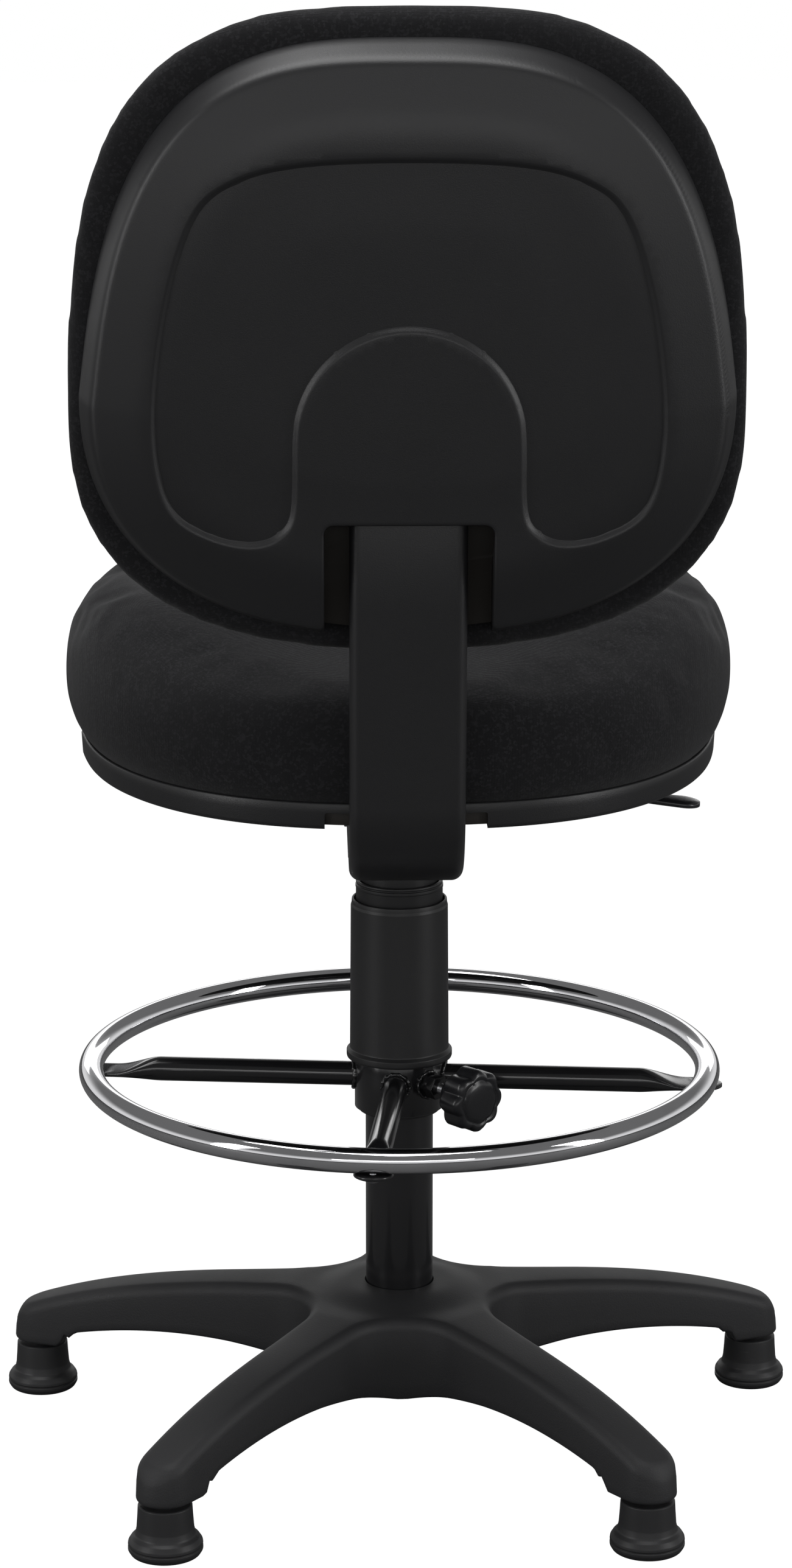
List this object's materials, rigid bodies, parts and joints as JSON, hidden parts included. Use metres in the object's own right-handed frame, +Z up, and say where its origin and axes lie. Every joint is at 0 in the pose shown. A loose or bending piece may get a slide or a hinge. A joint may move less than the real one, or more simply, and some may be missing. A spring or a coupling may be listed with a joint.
{
  "type": "drafting chair",
  "caption": "Tall swivel drafting chair: star base on bell glides, gas column in sleeves, clamped chrome foot ring, padded seat, height-adjustable padded back.",
  "frame": {"origin": "on the floor, on the axis of the column", "axes": "+Z up, -Y towards the front of the chair, -X the side of the sitter with the levers (the right hand of a seated person)"},
  "size_m": [0.6008, 0.6365, 1.0746],
  "materials": {
    "base_nylon": "fine-textured moulded black nylon",
    "glide_nylon": "smooth moulded black nylon",
    "steel_plain": "plain machined or zinc plated steel",
    "black_paint": "gloss black powder coat on steel",
    "acetal": "black moulded bearing plastic",
    "rubber": "black rubber",
    "brass": "turned brass",
    "sleeve_plastic": "satin black moulded plastic",
    "chrome": "bright chrome plate on steel tube",
    "knob_plastic": "black moulded plastic with a low gloss",
    "shell_plastic": "satin black moulded plastic with a fine grain",
    "plywood": "birch plywood stained black",
    "seat_fabric": "black woven upholstery fabric over foam"
  },
  "bodies": {
    "base": {"base_star": "base_nylon", "glide_1": "glide_nylon", "glide_2": "glide_nylon", "glide_3": "glide_nylon", "glide_4": "glide_nylon", "glide_5": "glide_nylon", "glide_stems": "steel_plain", "column_tube": "black_paint", "column_plate": "steel_plain", "guide_bush": "acetal", "rod_washer": "steel_plain", "lower_race": "steel_plain"},
    "rod": {"piston_rod": "steel_plain", "piston": "rubber", "upper_race": "steel_plain", "bearing_balls": "steel_plain", "bump_stop": "rubber", "rod_clip": "steel_plain"},
    "seat": {"gas_cylinder": "black_paint", "rod_guide": "rubber", "valve_body": "brass", "upper_sleeve": "sleeve_plastic", "taper_socket": "black_paint", "mechanism_housing": "black_paint", "lever_bushes": "acetal", "lever_pins": "steel_plain", "recline_pin": "steel_plain", "recline_spring": "steel_plain", "seat_board": "plywood", "seat_pan": "shell_plastic", "seat_bolts": "steel_plain", "seat_cushion": "seat_fabric"},
    "valve": {"valve_pin": "steel_plain"},
    "height_handle": {"height_lever": "black_paint", "height_paddle": "knob_plastic"},
    "lock_handle": {"lock_lever": "black_paint", "lock_paddle": "knob_plastic"},
    "bar": {"back_bar": "black_paint", "bar_cover": "shell_plastic"},
    "back": {"back_bracket": "black_paint", "bracket_guide": "acetal", "bracket_bolts": "steel_plain", "back_board": "plywood", "back_shell": "shell_plastic", "shell_clips": "acetal", "back_cushion": "seat_fabric"},
    "sleeve_middle": {"middle_sleeve": "sleeve_plastic"},
    "ring_carrier": {"ring_bush": "sleeve_plastic", "lower_sleeve": "sleeve_plastic"},
    "ring": {"ring_hub": "black_paint", "spoke_1": "black_paint", "spoke_2": "black_paint", "spoke_3": "black_paint", "spoke_4": "black_paint", "foot_ring": "chrome", "ring_bolts": "steel_plain", "clamp_nut": "black_paint"},
    "pad": {"clamp_pad": "brass"},
    "knob": {"clamp_screw": "steel_plain", "clamp_knob": "knob_plastic"}
  },
  "joints": [
    {"name": "seat_swivel", "type": "hinge", "parent": "base", "child": "rod", "pos_m": [0, 0, 0.055], "axis": [0, 0, 1], "continuous": true},
    {"name": "seat_lift", "type": "slide", "parent": "rod", "child": "seat", "axis": [0, 0, 1], "range_m": [0, 0.2]},
    {"name": "height_lever_lift", "type": "hinge", "parent": "seat", "child": "height_handle", "pos_m": [-0.037, 0, 0.508], "axis": [0, 1, 0], "range_deg": [0, 3], "stiffness_Nm_per_rad": 1.5, "springref_deg": -14.32},
    {"name": "valve_press", "type": "slide", "parent": "seat", "child": "valve", "axis": [0, 0, -1], "range_m": [0, 0.00195]},
    {"name": "lock_lever_turn", "type": "hinge", "parent": "seat", "child": "lock_handle", "pos_m": [-0.037, 0.045, 0.504], "axis": [0, 1, 0], "range_deg": [0, 3.5]},
    {"name": "back_recline", "type": "hinge", "parent": "seat", "child": "bar", "pos_m": [0, 0.062, 0.492], "axis": [-1, 0, 0], "range_deg": [0, 12], "stiffness_Nm_per_rad": 60, "springref_deg": -28.65, "deforming": ["recline_spring"]},
    {"name": "back_height", "type": "slide", "parent": "bar", "child": "back", "axis": [0, 0.1219, 0.9925], "range_m": [0, 0.06]},
    {"name": "middle_sleeve_follow", "type": "slide", "parent": "base", "child": "sleeve_middle", "axis": [0, 0, 1], "range_m": [0, 0.1]},
    {"name": "ring_height", "type": "slide", "parent": "base", "child": "ring_carrier", "axis": [0, 0, 1], "range_m": [-0.1, 0]},
    {"name": "ring_turn", "type": "hinge", "parent": "ring_carrier", "child": "ring", "pos_m": [0, 0, 0.278], "axis": [0, 0, 1], "continuous": true},
    {"name": "pad_press", "type": "slide", "parent": "ring", "child": "pad", "axis": [-0.6361, 0.7716, 0], "range_m": [0, 0.0022]},
    {"name": "knob_turn", "type": "hinge", "parent": "pad", "child": "knob", "pos_m": [0, 0, 0.278], "axis": [0.6361, -0.7716, 0], "range_deg": [0, 600]}
  ],
  "couplings": [
    {"joint": "valve_press", "follows": "height_lever_lift", "m_per_rad": 0.037},
    {"joint": "middle_sleeve_follow", "follows": "seat_lift", "ratio": 0.5},
    {"joint": "pad_press", "follows": "knob_turn", "m_per_rad": 0.00019894}
  ]
}
